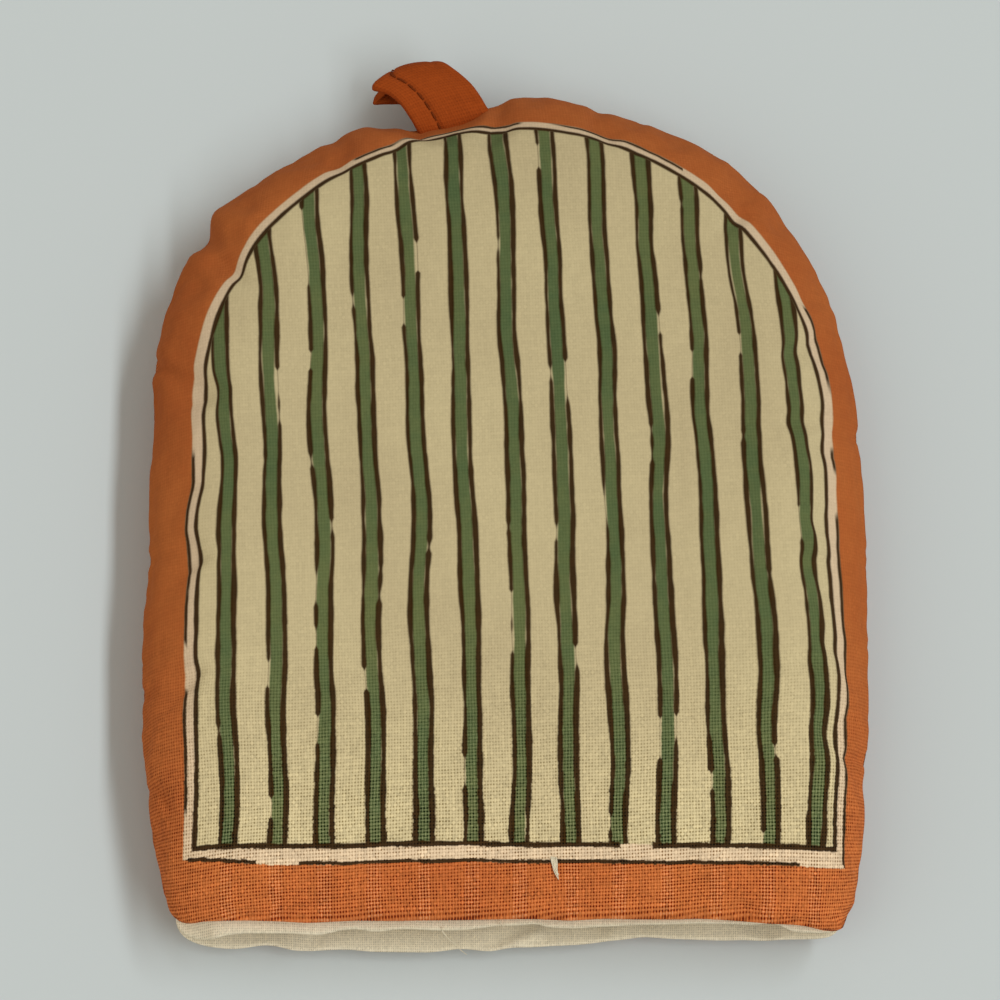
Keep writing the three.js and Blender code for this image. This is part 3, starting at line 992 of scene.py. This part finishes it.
def printedCloth():
    # Block print on cream cloth: an orange ground outside an arch, two brown outlines with bare
    # cloth between, and thirteen green bars edged in brown, all drawn freehand.
    nodes = Nodes("printed_cotton")
    weave = Weave(nodes, printing["warp"], printing["weft"], 0.056, 0.00028, 0.9)
    # Ink sits on whole threads, so the pattern is read at a place pulled towards each
    # crossing; both this and the weave show less where the filling stretches the cloth, further up
    slack = weave.y.step(46, -6) * 0.92 + 0.08
    jitter = (nodes.random(nodes.vector(weave.warpCell, weave.weftCell, 3.0)) - 0.5) * slack * 0.14
    pullA = (0.5 - weave.warpAt.part()) * slack * (weave.warp * 0.32) + jitter
    pullB = (0.5 - weave.weftAt.part()) * slack * (weave.weft * 0.32) + jitter
    a, b = weave.a + pullA, weave.b + pullB
    x, y = weave.x + pullA, weave.y + pullB

    pitch, firstBar = printing["pitch"], printing["firstBar"]
    bar = ((a - firstBar) / pitch + 0.5).floor().above(0).below(printing["lastBar"])
    seed = bar * 5.31 + 1.7
    swing, swayLeft, swayRight = nodes.noise(nodes.vector(seed, b / 24, 4.0), 1.0, 1.0, True)
    fineLeft, fineRight, fineInk = nodes.noise(nodes.vector(seed, b / 6, 11.0), 1.0, 2.0, True)
    missLeft, missRight, spill = nodes.noise(nodes.vector(seed, b / 10, 23.0), 1.0, 1.0, True)
    across = a - bar * pitch - firstBar - swing * 1.7
    leftLine = across + printing["lineAt"] - swayLeft * 0.6 - fineLeft * 0.3
    rightLine = across - printing["lineAt"] - swayRight * 0.6 - fineRight * 0.3
    thick = y.step(78, 25) * 0.06
    leftHalf = (fineRight * 0.5 + 0.29 + thick) * missLeft.step(0.15, 0.1)
    rightHalf = (fineLeft * 0.5 + 0.33 + thick) * missRight.step(0.21, 0.16)
    inkSoft = 0.18 - slack * 0.1
    brownLeft = (leftHalf - leftLine.size()).step(0 - inkSoft, inkSoft)
    brownRight = (rightHalf - rightLine.size()).step(0 - inkSoft, inkSoft)
    greenMiddle = across + 0.05 - (swayLeft + swayRight) * 0.5
    greenHalf = printing["greenHalf"] + fineInk * 0.45 + spill * 0.5
    green = (greenHalf - greenMiddle.size()).step(0 - inkSoft, inkSoft)

    # Distance in from the arch's edge: straight sides, a round top and a straight foot
    slowX, slowY, slowFoot = nodes.noise(nodes.vector(x, y, 5.0), 0.055, 1.0, True)
    fineX, fineY, fineFoot = nodes.noise(nodes.vector(x, y, 8.0), 0.3, 1.0, True)
    fromMiddle = x - printing["archX"]
    overSpring = (y - printing["spring"]).above(0)
    reach = (fromMiddle * fromMiddle + overSpring * overSpring * 1.05).power(0.5)
    inArch = printing["halfArch"] - reach + slowX * 1.3 + fineX * 0.16
    overFoot = y - printing["foot"] + slowFoot * 0.7 + fineFoot * 0.14
    inside = inArch.below(overFoot + (x + 31).below(0) * 0.075)
    ground = inside.step(inkSoft, 0 - inkSoft)
    innerSide = inArch - printing["sideBand"] + y.step(72, 104) * 0.55
    inner = innerSide.below(overFoot - printing["footBand"]) + slowY * 0.5
    innerLine = (thick + 0.31 + fineY * 0.2 - inner.size()).step(0 - inkSoft, inkSoft)
    outerAt = inside - 0.2 + fineX * 0.12
    onFoot = (inArch - overFoot).step(-0.5, 0.5)
    bareFoot = (x + 30.3).size().step(3.2, 2.6).above(x.step(38.4, 39.2)) * onFoot
    innerLine = innerLine * (1 - (x - 17.2).size().step(2.3, 1.9) * onFoot)
    # The outer outline skips in places, more on the left shoulder and along the right one
    skips = y.step(50, 90) * x.step(0, -20) * 0.15 + y.step(80, 86) * (x - 32.5).size().step(9, 7) * 0.5
    kept = nodes.noise(nodes.vector(x, y, 14.0), 0.075, 1.0) - skips + onFoot * 0.3 - bareFoot
    outerHalf = fineFoot * 0.12 + 0.26 - y.step(80, 110) * 0.05
    outerLine = (outerHalf - outerAt.size()).step(0 - inkSoft, inkSoft) * kept.step(-0.06, -0.02)
    bars = (inner - 0.1).step(0 - inkSoft, inkSoft)
    brown = (brownLeft.above(brownRight) * bars).above(innerLine).above(outerLine)
    bandOnly = (1 - bars) * (1 - ground)

    # Colours: dye lies a little uneven, and the bare cloth has yellowed in soft patches
    patchy, blotch, fade = nodes.noise(nodes.vector(weave.x, weave.y, 17.0), 0.045, 2.0, True)
    fleckA, fleckB, _ = nodes.noise(nodes.vector(weave.x, weave.y, 29.0), 0.5, 2.0, True)
    cream = nodes.mixed(patchy * 1.6 + 0.5, *printing["cream"])
    cream = nodes.mixed(bandOnly * 0.75, cream, printing["bare"])
    greenInk = nodes.mixed(blotch * 1.8 + 0.5 + fleckA * 0.7, *printing["green"])
    brownInk = nodes.mixed(fleckB + 0.5, *printing["brown"])
    orangeInk = nodes.mixed(fade * 1.6 + 0.5 + fleckB * 0.6, *printing["orange"])
    # Painted shade: orange, and cream less so, are made darker further up, on the dome's top, which faces
    # away from the light; lower down this evens out the weave's painted hole shade
    light = slack * 0.24 + 0.79
    orangeInk = nodes.mixed(1.0, orangeInk, nodes.vector(light, light, light), "MULTIPLY")
    # The cream's painted shade, darker further up
    light = slack * 0.17 + 0.98
    cream = nodes.mixed(1.0, cream, nodes.vector(light, light, light), "MULTIPLY")
    color = nodes.mixed(green * bars, cream, greenInk)
    color = nodes.mixed(ground, color, orangeInk)
    # Ink lies thinner on the crests of the threads, and the pale crests are also a painted highlight
    crestInkAndHighlight = weave.height.step(0.6, 1.0) * slack * (green * 0.12 + 0.06)
    color = nodes.mixed(crestInkAndHighlight, color, printing["crestInkAndHighlight"])
    color = nodes.mixed(brown * 0.98, color, brownInk)
    # Painted shade: the whole print darkens a little towards the top, which faces away from the light
    light = 1.02 - y * 0.0012
    color = nodes.mixed(1.0, color, nodes.vector(light, light, light), "MULTIPLY")
    depth = slack * (green * 0.35 + ground * 0.1 + 0.92)
    return nodes.finish(weave.shaded(color, depth), weave.height * slack, 0.00007)


def dyedCloth(name, first, second, warp, weft, slope=0.0, relief=0.00009, contrast=1.0, weftShare=1.0):
    # One colour throughout: two shades in soft patches, and painted light and shade from the weave's
    # knuckles and holes
    nodes = Nodes(name)
    weave = Weave(nodes, warp, weft, slope, 0.0, 0.9, weftShare)
    patchy, blotch, _ = nodes.noise(nodes.vector(weave.x, weave.y, 41.0), 0.05, 2.0, True)
    fleck = nodes.noise(nodes.vector(weave.x, weave.y, 47.0), 0.5, 2.0)
    color = nodes.mixed(patchy * 1.5 + 0.5 + fleck * 0.6, first, second)
    light = blotch * 0.1 + 1
    color = nodes.mixed(1.0, color, nodes.vector(light, light, light), "MULTIPLY")
    return nodes.finish(weave.shaded(color, contrast), weave.height, relief)


frontPanel.data.materials.append(printedCloth())
backPanel.data.materials.append(
    dyedCloth("orange_cotton", *printing["orange"], printing["warp"], printing["weft"], 0.02)
)
liningCloth = dyedCloth(
    "cream_lining", linear(243, 229, 204), linear(233, 219, 190), 0.29, 0.31, 0.0, 0.00004, 0.4, 0.7
)
frontLining.data.materials.append(liningCloth)
backLining.data.materials.append(liningCloth)
# Painted shade: the tape is the panel's orange cloth, coloured darker and deeper than the panel's orange
shadedTapeCloth = dyedCloth(
    "orange_tape_painted_shade", linear(150, 64, 19), linear(162, 72, 24), 0.38, 0.42, 0.0, 0.00005, 0.16
)
loop.data.materials.append(shadedTapeCloth)
stitches.data.materials.append(
    dyedCloth("stitch_thread", linear(112, 48, 16), linear(126, 56, 20), 0.12, 0.12, 0.0, 0.00002, 0.4)
)

print("stage: loose threads")

threadEnds = {
    "thin": 0.075,
    "liningStrand": [(-8.7, -0.9, 9.6), (-8.0, -1.6, 8.2), (-7.2, -2.1, 5.6)]
    + [(-6.2, -2.7, 4.2), (-5.2, -3.3, 3.6)],
    "lipStrand": [(-0.9, -0.3, 10.4), (-0.5, -0.75, 9.8), (-0.1, -1.1, 9.1)],
}


def strand(points, radius, seed, wander=0.08, count=26):
    # A thread along its points, with a slow random wander and a thinning end
    path = smoothPath(np.array(points, float), count)
    rng = np.random.default_rng(seed)
    knots = rng.normal(0, wander, (3, 6))
    drift = np.stack([np.interp(np.linspace(0, 5, count), range(6), knot) for knot in knots], 1)
    taper = radius * mix(1, 0.35, np.linspace(0, 1, count) ** 3)
    return tube(path + drift, taper)


liningThreads = joinTubes(
    "lining_threads",
    [
        strand(threadEnds["liningStrand"], threadEnds["thin"], 3),
        strand(threadEnds["lipStrand"], threadEnds["thin"], 4, 0.04),
    ],
)
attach(liningThreads, "root")
paleThread = dyedCloth(
    "pale_thread", linear(240, 230, 206), linear(230, 214, 184), 0.12, 0.12, 0.0, 0.00001, 0.3
)
liningThreads.data.materials.append(paleThread)


def printTuft():
    # A pulled-out weft end at the foot of the print: a few fibres from one spot, spreading down
    rng = np.random.default_rng(9)
    tubes = []
    for k in range(11):
        side, drop = 0.38 * (k - 5) / 5, rng.uniform(0.75, 1.0)
        points = [
            (6.3 + side, 7.6, 13.4),
            (6.35 + side, 7.2, 14.8),
            (6.5 + side * 0.7, mix(7.2, 4.1, drop * 0.5), 15.0 + rng.uniform(-0.1, 0.15)),
            (6.9 + rng.normal(0, 0.07), mix(7.2, 4.1, drop), 14.7),
        ]
        tubes.append(strand(points, rng.uniform(0.06, 0.11), 30 + k, 0.05, 14))
    return joinTubes("print_tuft", tubes)


tuft = printTuft()
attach(tuft, "root")
tuft.data.materials.append(paleThread)

# The linings' flat cut: a rectangle under half an ellipse, and a turn-out at the hem
liningFlat = {"width": 98, "side": 66, "domeWidth": 97, "domeRise": 51, "turnOut": 2}
archArea = liningFlat["width"] * liningFlat["side"]
archArea += math.pi / 4 * liningFlat["domeWidth"] * liningFlat["domeRise"]

print("stage: floor, light and camera")

room = {
    "aim": Vector((-0.0008, -0.0013, 0.007)),
    "distance": 1.0,
    "elevation": 73,
    "lens": 266,
    "floor": linear(206, 212, 213),
    "keyFrom": Vector((0.64, -0.2, 1.0)),  # directions from the cosy
    "keyDistance": 4.4,
    "keySize": (6.0, 0.5),  # a long window: along y, and up its slope
    "keyPower": 130,
    "fillFrom": Vector((-0.9, -0.5, 0.8)),
    "fillDistance": 2.2,
    "fillSize": (2.6, 2.6),
    "fillPower": 7.6,
    "sky": 0.4,
}


def floorSurface():
    nodes = Nodes("pale_floor")
    place = nodes.add("ShaderNodeTexCoord", None, None, 3)
    grain = nodes.noise(place, 40.0, 3.0)
    color = nodes.mixed(grain * 0.3 + 0.5, room["floor"], linear(208, 213, 214))
    return nodes.finish(color, grain, 0.00002, 0.7)


bpy.ops.mesh.primitive_plane_add(size=4)
floor = bpy.context.object
floor.name = "floor"
floor.data.materials.append(floorSurface())


def addLight(name, tint):
    # A flat lamp at its distance from the cosy, its long side straight along y
    light = bpy.data.lights.new(name, "AREA")
    light.shape, light.energy, light.color = "RECTANGLE", room[name + "Power"], tint
    light.size, light.size_y = room[name + "Size"]
    lamp = bpy.data.objects.new(name, light)
    bpy.context.scene.collection.objects.link(lamp)
    toward = room[name + "From"].normalized()
    lamp.location = toward * room[name + "Distance"]
    lamp.rotation_euler = Vector((toward.x, 0, toward.z)).to_track_quat("Z", "Y").to_euler()


addLight("key", (0.9, 0.97, 0.99))
addLight("fill", (1.0, 0.95, 0.86))

world = bpy.data.worlds.new("studio")
world.use_nodes = True
sky = world.node_tree.nodes["Background"]
sky.inputs["Color"].default_value = (1.0, 0.95, 0.84, 1.0)
sky.inputs["Strength"].default_value = room["sky"]
bpy.context.scene.world = world
bpy.context.scene.view_settings.view_transform = "Standard"

lens = bpy.data.cameras.new("camera")
lens.lens, lens.sensor_width = room["lens"], 36
camera = bpy.data.objects.new("camera", lens)
bpy.context.scene.collection.objects.link(camera)
tilt = math.radians(room["elevation"])
back = Vector((0, -math.cos(tilt), math.sin(tilt)))
camera.location = room["aim"] + back * room["distance"]
camera.rotation_euler = back.to_track_quat("Z", "Y").to_euler()
bpy.context.scene.camera = camera
